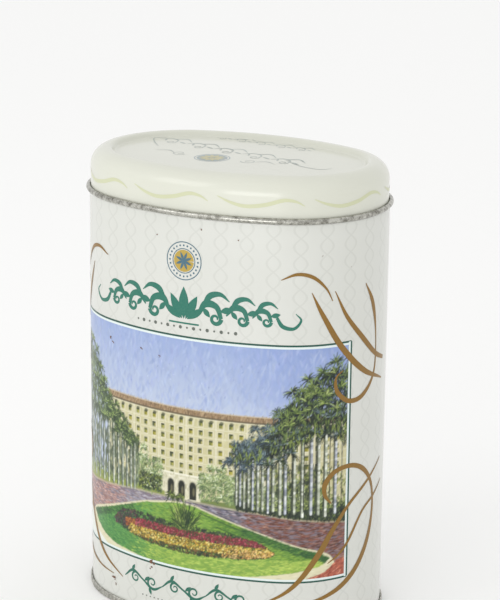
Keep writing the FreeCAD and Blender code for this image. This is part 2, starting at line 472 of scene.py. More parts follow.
def between(value, low, high, soft=0.3):
    """Return 1 inside a range and 0 outside, with a soft edge in millimetres."""
    return np.clip((value - low) / soft + 0.5, 0, 1) * np.clip((high - value) / soft + 0.5, 0, 1)


def edge(*knots):
    """Return a gently rounded outline through (across, up) knots, one height for each column."""
    width = round(4 / fine_step)
    line = np.interp(across, [k[0] for k in knots], [k[1] for k in knots])
    return np.convolve(np.pad(line, width, mode="edge"), np.ones(width) / width,
                       mode="same")[width:-width]


def height_at(line, s):
    """Return an outline's height at a place across."""
    return float(np.interp(s, across, line))


def scatter(count, low_s, high_s, low, high):
    """Yield random places between two outlines or heights, from the top down."""
    low = low if isinstance(low, np.ndarray) else np.full(len(across), low)
    high = high if isinstance(high, np.ndarray) else np.full(len(across), high)
    places = []
    for s in chance.uniform(low_s, high_s, count):
        floor, ceiling = height_at(low, s), height_at(high, s)
        if ceiling > floor:
            places.append((s, chance.uniform(floor, ceiling)))
    return sorted(places, key=lambda place: -place[1])


def strokes(places, length, width, angle, wander, codes, strength=0.8):
    """Lay one mark at each place, sizes and angle varied, in inks picked from a few."""
    for s, z in places:
        dab(s, z, length * chance.uniform(0.6, 1.5), width * chance.uniform(0.7, 1.4),
            chance.normal(angle, wander),
            pick(codes), strength)


# Sky: periwinkle, paler towards the roof, with short soft brush marks.
picture[:] = ink("#c5cedf")
lay((every_z - 96) / (top - 96), "#a8b7d9")
lay(between(every_s, 30, right + 9, 20) * between(every_z, 100, top + 9, 8), "#97a9d6", 0.5)
strokes(scatter(2400, left, right, 92.0, top), 4, 1.0, 86, 20,
        ["#a9b6d8", "#b6c3de", "#c4cfe1", "#9fafd6", "#b0b9de"], 0.28)
strokes(scatter(60, -30, 45, 100.0, 122.0), 1.2, 0.4, 80, 30, ["#8f9cc4", "#c9d2e6"], 0.6)

# House: one long plain front under a low tiled roof, with a grid of yellow-shuttered windows.
HOUSE_LEFT, HOUSE_FOOT, EAVES, ROOF_RISE = -42.0, 56.5, 93.4, 2.6
WINDOW_PITCH, FLOOR_PITCH, TOP_FLOOR, FLOORS = 4.5, 3.9, 90.8, 7
front = between(every_s, HOUSE_LEFT, right + 9)
lay(front * between(every_z, HOUSE_FOOT, EAVES), "#d2cda9")
strokes(scatter(1500, HOUSE_LEFT, right, HOUSE_FOOT, EAVES), 2.0, 0.6, 90, 10,
        ["#dedab9", "#c4bf92", "#e2dfca", "#cdc9a6"], 0.5)
for floor_number in range(FLOORS):
    sill = TOP_FLOOR - floor_number * FLOOR_PITCH
    lay(front * between(every_z, sill + 1.6, sill + 2.0), "#e8e5d4", 0.6)
    for bay in range(-9, 16):
        s = -0.8 + bay * WINDOW_PITCH + chance.normal(0, 0.12)
        block(s + 0.1, sill, 2.6, 2.8, ink("#e2decb"), 0.8)
        block(s, sill, 1.8, 2.2, pick(["#8c8f48", "#a39f45", "#7b8148", "#989a5a", "#6c7350"]))
        block(s - 0.1, sill + 0.7, 1.6, 0.8, pick(["#4c5342", "#5f6448"]), 0.8)
        block(s + 0.5, sill - 0.4, 0.6, 1.2, ink("#c9bf72"), 0.7)
        if floor_number == 0:
            dab(s, sill + 1.0, 2.2, 1.6, 0, ink("#5a5f48"), 0.8)
for bay in range(-9, 16, 3):
    pier = 1.35 + bay * WINDOW_PITCH
    lay(between(every_s, pier - 0.35, pier + 0.35) * between(every_z, 66, EAVES), "#ece9dc", 0.5)
lay(front * between(every_z, EAVES, EAVES + ROOF_RISE), "#a58f74")
strokes(scatter(700, HOUSE_LEFT, right, EAVES + 0.2, EAVES + ROOF_RISE), 1.6, 0.45, 84, 6,
        ["#86735c", "#b8a285", "#9d8562", "#c7b394"], 0.7)
lay(front * between(every_z, EAVES - 0.5, EAVES + 0.2), "#6f6350", 0.9)
lay(front * between(every_z, EAVES + ROOF_RISE - 0.3, EAVES + ROOF_RISE + 0.2), "#d9cdb4", 0.7)

# Porch: a low pale block with three round-headed doorways.
lay(between(every_s, -11.5, 8.5) * between(every_z, HOUSE_FOOT - 1, 67), "#dbd8c2")
lay(between(every_s, -12, 9) * between(every_z, 66.6, 67.3), "#f0eee0", 0.9)
strokes(scatter(160, -11, 8, HOUSE_FOOT, 66.5), 1.5, 0.5, 90, 15, ["#eae7d8", "#c7c4a8", "#b5b391"], 0.6)
for s in (-6.0, -0.8, 4.5):
    lay(between(every_s, s - 1.6, s + 1.6) * between(every_z, HOUSE_FOOT, 62.8), "#33382c")
    dab(s, 62.8, 3.6, 3.8, 0, ink("#33382c"))
    dab(s + 0.4, 60.0, 1.3, 4.5, 0, ink("#8b876b"), 0.75)
    dab(s, 65.4, 4.2, 0.6, 0, ink("#efecdd"), 0.8)

# Ground: far verge, brick drive, pale kerb and lawn, each from its own outlines.
drive_top = edge((-70, 51.5), (-54, 52.5), (-40, 54.0), (-25, 55.8), (-8, 56.2), (10, 56.0), (33, 54.5),
                 (58, 51.2), (71, 49.2))
kerb_top = edge((-61, 30), (-58, 37), (-54, 39.8), (-36, 46), (-20, 51.6), (-4, 54.8), (5, 54.4),
                (20, 50), (38, 44.4),
                (51, 39.9), (60, 37.4), (65, 34.8), (67.5, 28))
kerb_foot = edge((-61, 36), (-54, 30), (-44, 26), (-38, 20), (46, 20), (53.5, 25.6), (62, 28), (67.5, 33))
lawn_top = edge((-58, 30), (-55, 38), (-36, 45), (-20, 50.8), (-4, 54), (5, 53.8), (20, 49.4), (38, 43.8),
                (51, 39.2),
                (60, 36.2), (64, 33), (65, 28))
lawn_foot = edge((-58, 42), (-53, 34.5), (-46, 30), (-38, 27.4), (-16, 25.2), (10, 24.5), (30, 26),
                 (49, 28.8), (60, 31), (65, 36))
lay(between(every_z, bottom - 9, 58.0) * between(every_s, left - 9, -9, 1), "#98a060")
lay(between(every_z, bottom - 9, 57.5) * between(every_s, 8, right + 9, 1), "#7f8c58")
lay(between(every_z, bottom - 9, drive_top[None, :]), "#8a7f86")
BRICK = ["#875a4c", "#6e463b", "#997364", "#583930", "#936254", "#a98b7e", "#674740"]
PINK_BRICK = ["#bb988f", "#a98379", "#ccb0a7", "#987870", "#b4a09b"]
SLATE = ["#a19fac", "#8f8d9a", "#b7b4bb", "#7d7c8a", "#aaa3a2"]
SHADE = ["#4a505c", "#5d6270", "#6f6f7e", "#3e454e"]
for s, z in scatter(6500, left, right, bottom, drive_top):
    warmth = np.interp(s, [-60, -42, -28, 0, 12, 24, 36],
                       [1.0, 0.85, 0.2, 0.0, 0.0, 0.35, 1.0]) + chance.normal(0, 0.15)
    shaded = 2 < s < 26 and chance.random() < 0.6
    tilt = np.interp(s, [-60, -20, 10, 40, 70], [-3, -6, -14, -6, -1])
    dab(s, z, chance.uniform(1.5, 4.5), chance.uniform(0.3, 0.55), chance.normal(tilt, 4),
        pick(SHADE if shaded else SLATE if warmth <= 0.5 else PINK_BRICK if s < 0 else BRICK), 0.85)
for z in (51.0, 47.5, 43.5, 39.5):
    for s in np.arange(40, 70, 2.5):
        dab(s, z + chance.normal(0, 0.4), 5, 0.5, -2, ink("#523830"), 0.55)
lay(between(every_z, (drive_top - 0.7)[None, :], drive_top[None, :]), "#b9b59a", 0.7)
lay(between(every_z, kerb_foot[None, :], kerb_top[None, :]), "#d3cfb5")
strokes(scatter(600, -58, 66, kerb_foot, kerb_top), 2.4, 0.4, 0, 10, ["#c2bda0", "#dedac6", "#c9bda4"],
        0.6)
under_kerb = between(every_z, bottom - 9, kerb_foot[None, :])
lay(under_kerb * between(every_s, 50, right + 9, 2), "#ab6a58")
lay(under_kerb * between(every_s, left - 9, -36, 2), "#d9dcd6")
strokes(scatter(160, 52, right, bottom, kerb_foot), 1.6, 0.5, 25, 12,
        ["#c0785f", "#96503f", "#cf9a83", "#8b4a3e"], 0.8)
lawn = between(every_z, lawn_foot[None, :], lawn_top[None, :])
lay(lawn, "#86a456")
lay(lawn * between(every_s, -62, -22, 18), "#5f9455", 0.8)
lay(lawn * between(every_z, 40, 60, 5) * between(every_s, 14, 70, 8), "#557c3c", 0.8)
for s, z in scatter(7000, -56, 65, np.maximum(lawn_foot, bottom), lawn_top):
    shadow = z > height_at(lawn_top, s) - 3.5 and (s > 26 or s < -26)
    if s < -18 + chance.normal(0, 7):
        codes = ["#3f7a4b", "#5e9556", "#79a763", "#4d8450"]
    elif z < 34:
        codes = ["#9bb35c", "#b0c167", "#88a655", "#bccb74"]
    else:
        codes = ["#86a34c", "#6c9146", "#9db558", "#587f40"]
    dab(s, z, chance.uniform(1.2, 3.2), 0.4, chance.normal(np.interp(s, [-50, 0, 60], [-14, -4, 8]), 10),
        pick(["#3f6b3c", "#557f45", "#2f5537"] if shadow else codes), 0.7)
for start, drop in ((8, 0.0), (16, 3.0)):
    for s in np.arange(start, start + 20, 1.2):
        dab(s, height_at(lawn_top, s) - 1.6 - drop, 2.6, 0.7, -14, ink("#3c5f39"), 0.7)

# Flower bed: dark leaves behind, a red band and then a yellow band, and a dark near edge.
bed_top = edge((-40, 36), (-37, 41), (-33, 44.5), (-22, 46), (-8, 45), (10, 44.6), (21, 43.9), (33, 41.4),
               (39, 38), (41, 35))
bed_foot = edge((-40, 41), (-35, 36.3), (-26, 34.6), (-16, 33.2), (0, 32.3), (20, 33.0), (31, 33.9),
                (38, 35), (41, 38))
RED_LINE, YELLOW_LINE = 41.0, 37.2
strokes(scatter(2600, -39, 40, bed_foot, bed_top), 1.3, 0.8, 90, 45,
        ["#35443a", "#48553f", "#2e3a38", "#5a6350", "#3d4a30"], 0.9)
strokes(scatter(150, -38, -24, 37.0, bed_top), 1.0, 0.6, 60, 50,
        ["#5c5058", "#6e5a5c", "#7a4a4e", "#463c42"], 0.8)
strokes(scatter(300, -31, -20, 37.5, 41.5), 0.8, 0.7, 60, 50,
        ["#a4663c", "#8a5237", "#c08a4c", "#6a4a36"], 0.9)
strokes(scatter(1500, -25, 37, np.maximum(bed_foot, RED_LINE - 1.8), np.minimum(bed_top, RED_LINE + 1.6)),
        1.1, 0.6, 90, 30,
        ["#8a3140", "#a03f52", "#6a2c36", "#c06e7a", "#7a3c42", "#4f4a3a", "#7a5a4a"], 0.9)
strokes(scatter(2100, -29, 40, np.maximum(bed_foot, YELLOW_LINE - 2.4),
                np.minimum(bed_top, YELLOW_LINE + 1.8)), 0.9, 0.6, 80, 50,
        ["#c2a648", "#d6c268", "#e2d698", "#8f7c3c", "#5c5a30", "#c09a50", "#6f6a3a"], 0.9)
strokes(scatter(420, -26, 37, bed_foot, 34.8), 0.8, 0.6, 70, 50,
        ["#4b5a36", "#6a5a38", "#8a6a44", "#3c4a30"], 0.9)
strokes(scatter(260, 18, 40, bed_foot, 37.5), 0.8, 0.6, 70, 50,
        ["#cfa468", "#e2c690", "#a58450", "#6a6238"], 0.9)

def palm_crown(s, z, spread, codes, lights, light_share):
    """Paint a palm's head: fronds that burst from the middle and bend over at their tips."""
    for frond in range(46):
        lean = math.radians(chance.uniform(-50, 230))
        out = spread * chance.uniform(0.5, 1.15)
        lit = math.sin(lean) > 0.1 and chance.random() < light_share
        colour = pick(lights if lit else codes)
        for share in (0.25, 0.55, 0.85):
            run, rise = 0.8 * out * math.cos(lean), out * math.sin(lean)
            fall = 0.4 * out * share ** 2
            tilt = math.degrees(math.atan2(rise - 0.8 * out * share, run))
            dab(s + run * share, z + rise * share - fall, out * 0.4, 0.24 + 0.05 * spread * (1 - share),
                tilt, colour, 0.9)


# Small feathery palms against the house, then the ornamental grass in the middle of the lawn.
LEAF = ["#748660", "#90a373", "#5f7258", "#a8b683"]
PALE_LEAF = ["#c2cd98", "#dae2bc", "#e8edd6", "#b2bf8e"]
for middle, half, crown in ((-17.5, 7.0, 79.0), (16.0, 8.5, 76.0), (30, 9, 70), (48, 12, 72)):
    strokes(scatter(int(70 * half), middle - half, middle + half, 57.0, crown - 7), 1.8, 0.5, 90, 35,
            LEAF, 0.85)
    for s, z in scatter(int(4 * half), middle - half, middle + half, 58.0, crown - 2):
        if z < crown - 2 - 7 * ((s - middle) / half) ** 2:
            palm_crown(s, z, chance.uniform(2.0, 3.4), LEAF, PALE_LEAF, 0.55)
strokes(scatter(260, -23, -11, 57.0, 64.0), 1.6, 0.6, 90, 40,
        ["#34452f", "#48583a", "#2d3b30", "#8f9a3e"], 0.8)
for s in (-6.5, -4.0, -1.5):
    palm_crown(s, 56.5, 3.4, ["#4a5a34", "#5d6c3b", "#333f2a"], ["#9dab62", "#8d9960"], 0.4)
DARK_BLADE = ["#37502f", "#2c4230", "#4d6438", "#42592f"]
LIGHT_BLADE = ["#6f8444", "#a9b573", "#8b9a58"]
for blade in range(230):
    lean = chance.normal(90, 32)
    reach = chance.uniform(5, 15.5) * (1 - abs(lean - 90) / 170)
    base_s, base_z = 0.5 + chance.normal(0, 1.4), 42.4 + chance.uniform(-0.5, 1.5)
    green = pick(DARK_BLADE if blade % 3 else LIGHT_BLADE)
    for share in (0.25, 0.5, 0.75):
        bow = (90 - lean) * 0.12 * share
        run = math.cos(math.radians(lean)) * reach * share + bow * 0.2
        rise = math.sin(math.radians(lean)) * reach * share
        dab(base_s + run, base_z + rise, reach * 0.36, 0.6 - 0.3 * share, lean - bow, green, 0.95)


def trunk(s, foot, crown, girth, pale):
    """Paint a straight trunk, shaded on its left and lit on its right."""
    for z in np.arange(foot, crown, 0.9):
        dab(s - girth * 0.45, z, 1.8, girth * 0.8, 90, pick(["#4c5548", "#3c453c", "#5c6558"]), 0.85)
        dab(s + girth * 0.2, z, 1.8, girth, 90, pick(pale), 0.92)


# Left avenue: lighter, yellower palms, with evenly spaced trunks over a mown verge.
GREY_BARK = ["#b4bcb0", "#c8cec2", "#a4ada0", "#d6dace"]
left_crowns = edge((-71, 119), (-60, 120), (-52, 116), (-48, 110), (-44, 104), (-40, 97), (-34, 91),
                   (-28, 86), (-23, 79))
left_shade = edge((-71, 84), (-50, 84), (-40, 84), (-34, 79), (-28, 77), (-22, 75))
strokes(scatter(900, left, -23, 57.0, left_shade + 3), 4.0, 0.8, 90, 8,
        ["#69745f", "#7c8770", "#5a6652", "#8c967c"], 0.9)
strokes(scatter(260, left, -34, 55.0, 60.0), 1.6, 0.6, 90, 30, ["#8c9a5a", "#a3ad66", "#5f6f44"], 0.8)
for step in range(13):
    s = -25.5 - 24.4 * (1.09 ** step - 1)
    trunk(s, 55.6 - step * 0.12, height_at(left_shade, s) + 3, 0.75 + 0.03 * step, GREY_BARK)
strokes(scatter(2000, left, -24, left_shade, left_crowns - 8), 2.6, 0.6, 85, 25,
        ["#4f6145", "#667a58", "#7d8f68", "#3e503a", "#93a478"], 0.85)
for tier in range(5):
    s = -24 - 1.2 * tier
    while s > left - 3:
        spread = 2.6 + 2.4 * min(1.0, (-24 - s) / 40)
        depth = height_at(left_crowns, s) - height_at(left_shade, s)
        drop = depth * 0.2 * tier + chance.uniform(0, 3.5)
        palm_crown(s, height_at(left_crowns, s) - spread * 0.75 - drop, spread,
                   ["#3b4f35", "#4f6245", "#637751", "#2f4131"], ["#9cae72", "#b1c184", "#869b5c"], 0.42)
        s -= spread * (chance.uniform(0.95, 1.4) if tier == 0 else chance.uniform(0.8, 1.1))

# Right avenue: nearer, darker palms, blue in their shade, with low dark planting at the foot.
right_crowns = edge((17, 78), (22, 84.5), (27, 89.8), (32, 93.8), (37, 97.5), (40, 103), (45, 110),
                    (51, 116.5), (57, 121), (63, 125), (71, 126))
right_shade = edge((17, 79), (27, 77), (38, 79), (46, 83), (52, 88), (60, 90), (66, 88), (71, 86))
strokes(scatter(520, 23, 58, 57.0, 76.0), 4.0, 0.7, 90, 8, ["#3f4a3c", "#59634b", "#2f3a31", "#7c8460"],
        0.7)
strokes(scatter(500, 26, right, 60.0, 74.0), 1.8, 0.6, 90, 35,
        ["#8d9758", "#a8b070", "#5c6a3c", "#3f4c32"], 0.8)
strokes(scatter(1500, 24, right, drive_top, 58.5), 1.5, 0.6, 90, 40,
        ["#2f3a30", "#3d4a3a", "#4d5a44", "#262f2c"], 0.9)
strokes(scatter(380, 30, right, 56.0, 60.0), 1.0, 0.6, 60, 50, ["#8f9c5c", "#a9b377", "#6c7c46"], 0.85)
BLUE_BARK = ["#bcc0cc", "#d2d6dc", "#a5aab6", "#e0e3e4"]
PALE_BARK = ["#d6dacd", "#e6e9e0", "#c0c5b6", "#a9ae9c"]
for step in range(17):
    s = 23.5 + 26 * (1.062 ** step - 1) + chance.normal(0, 0.35)
    bark = BLUE_BARK if step % 3 == 1 else PALE_BARK
    trunk(s, 57.5 - step * 0.27 + chance.normal(0, 0.6), height_at(right_shade, s) + 3,
          0.75 + 0.04 * step, bark)
for step in range(5):
    s = 47 + step * 5.2 + chance.normal(0, 0.6)
    strokes([(s, z) for z in np.arange(56, 90, 0.9)], 1.6, 0.5, 90, 4, ["#39423a", "#4a5348", "#2d3530"],
            0.9)
strokes(scatter(3200, 20, right, right_shade, right_crowns - 9), 2.4, 0.5, 85, 28,
        ["#202d27", "#2a3730", "#35413b", "#182321", "#3e4a47"], 0.9)
BLUE_FROND = ["#34434f", "#455763", "#25323b", "#586973"]
GREEN_FROND = ["#1f2e20", "#2f3f29", "#425332", "#17231b", "#2c3d42"]
BLUE_LIGHT = ["#75868e", "#8c9ca2", "#6b7d5a"]
GREEN_LIGHT = ["#8ca055", "#a5b56a", "#72874a", "#c6d292"]
for tier in range(6):
    s = 19.5 + 1.4 * tier
    while s < right + 3:
        near = min(1.0, (s - 19) / 45)
        spread = 3.0 + 2.8 * near
        depth = height_at(right_crowns, s) - height_at(right_shade, s)
        drop = depth * 0.16 * tier + chance.uniform(0, 4.5)
        fronds = BLUE_FROND if near < 0.4 else GREEN_FROND
        lights = BLUE_LIGHT if near < 0.4 or tier > 3 else GREEN_LIGHT
        palm_crown(s, height_at(right_crowns, s) - spread * 0.75 - drop, spread, fronds, lights, 0.42)
        s += spread * (chance.uniform(0.95, 1.5) if tier == 0 else chance.uniform(0.8, 1.15))
strokes(scatter(200, 24, 42, right_shade + 2, right_crowns - 4), 1.6, 0.4, 80, 30,
        ["#75868e", "#8c9ca2", "#566872"], 0.8)
strokes(scatter(420, 42, right, right_shade + 2, right_crowns - 6), 2.0, 0.45, 85, 25,
        ["#7f9458", "#98aa68", "#5c7044"], 0.75)
for s, z in scatter(260, 22, right, right_shade - 2, right_shade + 6):
    dab(s, z, chance.uniform(2, 4), 0.5, chance.normal(90, 15),
        pick(["#2c382f", "#7f8f4c", "#9aa860", "#3f4f3a"]), 0.85)

# Painted light: the picture is made 16 % lighter over the ground at its foot, up to about 58 mm, against
# the shade low on the wall.
LOW_BAND_PAINTED_LIGHT = 0.16
picture *= 1 + LOW_BAND_PAINTED_LIGHT * between(every_z, bottom - 9, 58, 6)[..., None]

# Average the fine strokes onto the print's own points, then wrap the film onto the wall.
# Printed dots spread as they dry, which deepens the middle tones.
DOT_GAIN = 1.28
inked = np.clip(picture, 0, 1).reshape(rows + 1, FINE, columns + 1, FINE, 3).mean(axis=(1, 3)) ** DOT_GAIN
picture_bm = bmesh.new()
bmesh.ops.create_grid(picture_bm, x_segments=columns, y_segments=rows, size=1)
colours = picture_bm.verts.layers.float_color.new("ink")
for vert in picture_bm.verts:
    column, row = round((vert.co.x + 1) / 2 * columns), round((vert.co.y + 1) / 2 * rows)
    vert[colours] = (*inked[row, column], 1)
    x, y = along_oval(left + (right - left) * column / columns, INK_STANDOFF)
    vert.co = x, y, bottom + (top - bottom) * row / rows


def printing_ink(name, code=None):
    """Litho ink with a low gloss: one colour, or with no code the picture's own colours."""
    material, tree, shader = new_material(name)
    place = node(tree, "ShaderNodeTexCoord").outputs["Object"]
    # The ink lies a little thinner in places about 0.7 mm across, where the tin shows through.
    grain = node(tree, "ShaderNodeTexNoise", {"Vector": place}, Scale=1000 / 0.7, Detail=2.0)
    if code:
        thin = math_node(tree, "MULTIPLY", grain.outputs["Fac"], 0.05)
        colour = blended(tree, thin, linear(code), linear("#e8e4d4"))
    else:
        own = node(tree, "ShaderNodeVertexColor", settings={"layer_name": "ink"}).outputs["Color"]
        thin = math_node(tree, "MULTIPLY", grain.outputs["Fac"], 0.02)
        colour = blended(tree, thin, own, linear("#e2e4e6"))
    tree.links.new(colour, shader.inputs["Base Color"])
    shader.inputs["Roughness"].default_value = 0.36
    shader.inputs["Specular IOR Level"].default_value = 0.25
    shader.inputs["Coat Weight"].default_value = 0.18
    shader.inputs["Coat Roughness"].default_value = 0.12
    return material


finished(picture_bm, "picture_print", [printing_ink("varnished_picture_inks")], "tin")

# ---------------------------------------------------------------- line inks on the wall
# Rules and scrolls printed over the cream: a dark green frame, bronze flourishes, a teal scroll
# band, a round seal, dotted rules and a green vine. Each is a thin film that follows the wall, and
# inks printed later stand a little further off it.
GAP_STANDOFF = 0.025
LINE_STANDOFF = 0.03
RING_STANDOFF = 0.04
BRONZE_STANDOFF = 0.09
RUST_STANDOFF = 0.10


def through(*knots, steps=12):
    """Return a smooth line through knots of (across, up, width), by Catmull-Rom spans."""
    knots = [np.array(knot, float) for knot in knots]
    padded = [2 * knots[0] - knots[1]] + knots + [2 * knots[-1] - knots[-2]]
    line = []
    for a, b, c, d in zip(padded, padded[1:], padded[2:], padded[3:]):
        for t in np.arange(steps) / steps:
            line.append(0.5 * (2 * b + (c - a) * t + (2 * a - 5 * b + 4 * c - d) * t ** 2
                               + (3 * b - a - 3 * c + d) * t ** 3))
    return [tuple(point) for point in line + [knots[-1]]]


def straight(s0, z0, s1, z1, width):
    """Return a straight line of (across, up, width), with a point each millimetre."""
    count = max(1, round(math.hypot(s1 - s0, z1 - z0)))
    return [(s0 + (s1 - s0) * i / count, z0 + (z1 - z0) * i / count, width) for i in range(count + 1)]


def spiral(s, z, radius, end_radius, start, turns, width, end_width, count=30):
    """Return a spiral of (across, up, width): it starts at an angle in degrees, turns left positive."""
    line = []
    for share in np.linspace(0, 1, count + 1):
        angle = math.radians(start + 360 * turns * share)
        reach = radius + (end_radius - radius) * share
        line.append((s + reach * math.cos(angle), z + reach * math.sin(angle),
                     width + (end_width - width) * share))
    return line


def disc(s, z, radius, count=14):
    """Return a filled dot as one fat ring."""
    return spiral(s, z, radius / 2, radius / 2, 0, 1, radius, radius, count)


def leaf(s, z, length, width, angle):
    """Return a pointed leaf that starts at a point and grows at an angle in degrees."""
    c, n = math.cos(math.radians(angle)), math.sin(math.radians(angle))
    return [(s + length * share * c, z + length * share * n, width * math.sin(math.pi * share) + 0.05)
            for share in np.linspace(0, 1, 9)]


def mirrored(lines, middle=0.0):
    """Return lines with left and right changed over about a middle."""
    return [[(2 * middle - s, z, width) for s, z, width in line] for line in lines]


def shifted(lines, s, z, scale=1.0):
    """Return lines moved, and first scaled about their own origin."""
    return [[(s + a * scale, z + b * scale, width * scale) for a, b, width in line] for line in lines]


def on_wall(s, z, standoff):
    """Place a point of the flat layout a small standoff outside the wall."""
    return (*along_oval(s, standoff), z)


HAIR = 0.004
HAIRS = 12
LEAST_WIDTH = 0.04


def film(name, lines, standoff, material, surface=on_wall, body="tin"):
    """Print lines as flat ribbons on a surface, and join them in one piece.

    Where ribbons cross, each lies a hair above the one before it.
    """
    bm = bmesh.new()
    for number, line in enumerate(lines):
        count = len(line) - 1
        for vert in bmesh.ops.create_grid(bm, x_segments=count, y_segments=1, size=1)["verts"]:
            index = round((vert.co.x + 1) / 2 * count)
            side = math.copysign(0.5, vert.co.y)
            ahead, behind = line[min(index + 1, count)], line[max(index - 1, 0)]
            run, rise = ahead[0] - behind[0], ahead[1] - behind[1]
            s, z, width = line[index]
            shift = side * max(width, LEAST_WIDTH) / (math.hypot(run, rise) or 1.0)
            vert.co = surface(s - shift * rise, z + shift * run, standoff + number % HAIRS * HAIR)
    bmesh.ops.remove_doubles(bm, verts=bm.verts, dist=WELD / 2)
    return finished(bm, name, [material], body)


RULE = 0.8
half, low, high = FRAME_HALF_WIDTH, FRAME_BOTTOM, FRAME_TOP
gap = (FRAME_GAP + RULE / 2) / 2
dark_green = printing_ink("dark_green_ink", "#0e4a3f")
pale_gap = printing_ink("pale_gap_ink", "#dbe6e4")
film("frame_rule", [
    straight(-half, low, half, low, RULE),
    straight(-half, high, half, high, RULE),
    straight(-half, low, -half, high, RULE),
    straight(half, low, half, high, RULE),
], LINE_STANDOFF, dark_green)
gap_width = FRAME_GAP - RULE / 2
film("frame_gap", [
    straight(-half, low + gap, half, low + gap, gap_width),
    straight(-half, high - gap, half, high - gap, gap_width),
    straight(-half + gap, low, -half + gap, high, gap_width),
    straight(half - gap, low, half - gap, high, gap_width),
], GAP_STANDOFF, pale_gap)

# Bronze flourishes: long pen strokes that swell in the middle, with a C-scroll at their ends.
bronze = [
    through((54, 149, 0.3), (59, 139, 1.9), (68, 124.5, 2.6), (80, 113, 2.4), (95, 106, 0.7)),
    through((64, 149, 0.3), (70, 137.5, 1.7), (79, 127, 2.3), (88, 118.6, 2.2), (96.5, 114.5, 1.6)),
    through((80, 150, 0.4), (85.5, 140, 2.2), (88.3, 126, 0.8), (87.5, 111, 1.2), (80, 102.6, 2.1),
            (72, 101.3, 2.0),
            (66, 106, 1.9), (65.2, 112, 1.0), (68.5, 115, 0.3)),
    through((64, 58, 0.6), (61.2, 62, 1.7), (61.4, 67.2, 2.3), (66.3, 72, 2.0), (74.5, 72.8, 2.0),
            (82, 69, 2.1),
            (87.6, 61, 1.6), (88.8, 50, 1.6), (85.8, 38.5, 2.4), (79.5, 28.5, 2.6), (71, 21, 2.3),
            (61, 16.4, 1.6),
            (50, 14, 0.9), (39, 12.8, 0.3)),
    through((41.5, 154.4, 0.3), (48, 156.8, 1.3), (54.5, 155.4, 1.5), (60, 150.5, 0.9), (63, 145, 0.3)),
    through((96, 71, 0.5), (86.5, 65.2, 1.2), (73.5, 56.4, 1.5), (65, 46, 2.2), (59.5, 37, 2.6),
            (51.2, 25.6, 2.1),
            (44, 19, 1.4), (33, 13, 0.3)),
    through((98, 60.5, 0.4), (90, 56, 1.1), (81, 51, 1.2), (73, 39.8, 1.3), (68.5, 35, 1.0),
            (63, 31.5, 0.3)),
]
bronze += mirrored(bronze)
bronze_ink = printing_ink("bronze_ink", "#84601a")
film("bronze_flourish", bronze, BRONZE_STANDOFF, bronze_ink)

# Teal scroll band under the seal: a middle palmette with running S-scrolls that get smaller.
teal = printing_ink("teal_ink", "#1a6e5d")
half_band = [leaf(0, 134.5, 13.5, 4.4, 90), leaf(0.8, 134.5, 11.5, 3.8, 62),
             leaf(1.5, 134.5, 9.5, 3.0, 34)]
for start, size in ((6.5, 1.12), (19.0, 0.98), (30.0, 0.84)):
    half_band += shifted([
        through((0, 0, 0.5), (3.2, 3.8, 2.7), (7.4, 3.0, 2.2), (9.2, -1.4, 1.5)),
        spiral(7.0, -1.5, 2.2, 0.7, 0, -1.05, 1.7, 0.6),
        through((2.6, 3.6, 1.6), (5.0, 7.0, 2.3), (9.0, 7.8, 1.6), (12.4, 5.4, 0.3)),
        leaf(8.8, 1.4, 5.0, 2.4, 14),
        leaf(2.0, 2.2, 4.4, 2.0, -50),
    ], start, 137.8, size)
half_band += [through((40, 138.6, 1.2), (42.4, 135.0, 1.7), (47.0, 134.2, 1.3), (49.8, 137.6, 0.9),
                      (47.6, 140.4, 0.3)),
              straight(0, 132.6, 7, 132.6, 0.7)]
film("scroll_band", half_band + mirrored(half_band), LINE_STANDOFF, teal)

# Grey dotted rule, then the round seal: two rings, a bead between them and a gold middle.
grey = printing_ink("grey_ink", "#5f655e")
dots = [disc(-23.0 + 3.07 * index, 130.8, 0.75 if index % 2 else 0.45) for index in range(16)]
film("dotted_rule", dots, LINE_STANDOFF, grey)
SEAL_HEIGHT = 158.8
SEAL_BEADS = 24
SEAL_PETALS = 8
BEAD_RING = 6.5
film("seal_gold", [disc(0, SEAL_HEIGHT, 4.6, 40)], LINE_STANDOFF, printing_ink("gold_ink", "#b59a44"))
rings = [spiral(0, SEAL_HEIGHT, 7.9, 7.9, 0, 1, 0.4, 0.4, 60),
         spiral(0, SEAL_HEIGHT, 5.1, 5.1, 0, 1, 0.35, 0.35, 48)]
for index in range(SEAL_BEADS):
    angle = math.radians(360 / SEAL_BEADS * index)
    rings.append(disc(BEAD_RING * math.sin(angle), SEAL_HEIGHT + BEAD_RING * math.cos(angle), 0.42, 8))
for index in range(SEAL_PETALS):
    rings.append(leaf(0, SEAL_HEIGHT, 3.9, 1.1, 360 / SEAL_PETALS * (index + 0.5)))
film("seal_rings", rings, RING_STANDOFF, printing_ink("blue_green_ink", "#44697a"))

# Green vine under the picture, with a finer dotted rule below it.
vine_leaves = []
for start in (-31.5, -10.5, 10.5):
    vine_leaves += shifted([
        through((0, 0, 0.35), (3.5, 2.6, 0.9), (7.5, 0.6, 0.6), (11.5, -1.6, 0.9), (15, 0, 0.35)),
        spiral(4.6, 0.6, 1.7, 0.4, 90, 1.2, 0.7, 0.3),
        spiral(11.2, 0.4, 1.9, 0.4, -90, -1.2, 0.8, 0.3),
        leaf(3.0, 2.4, 2.6, 1.0, 60),
        leaf(8.2, 0.4, 2.6, 1.0, 40),
        leaf(10.0, -1.2, 2.6, 1.0, -70),
    ], start, 14.4, 1.4)
film("green_vine", vine_leaves, LINE_STANDOFF, printing_ink("sea_green_ink", "#1f6655"))
film("fine_dots", [disc(-21.0 + 2.1 * index, 8.4, 0.35, 8) for index in range(21)], LINE_STANDOFF, grey)

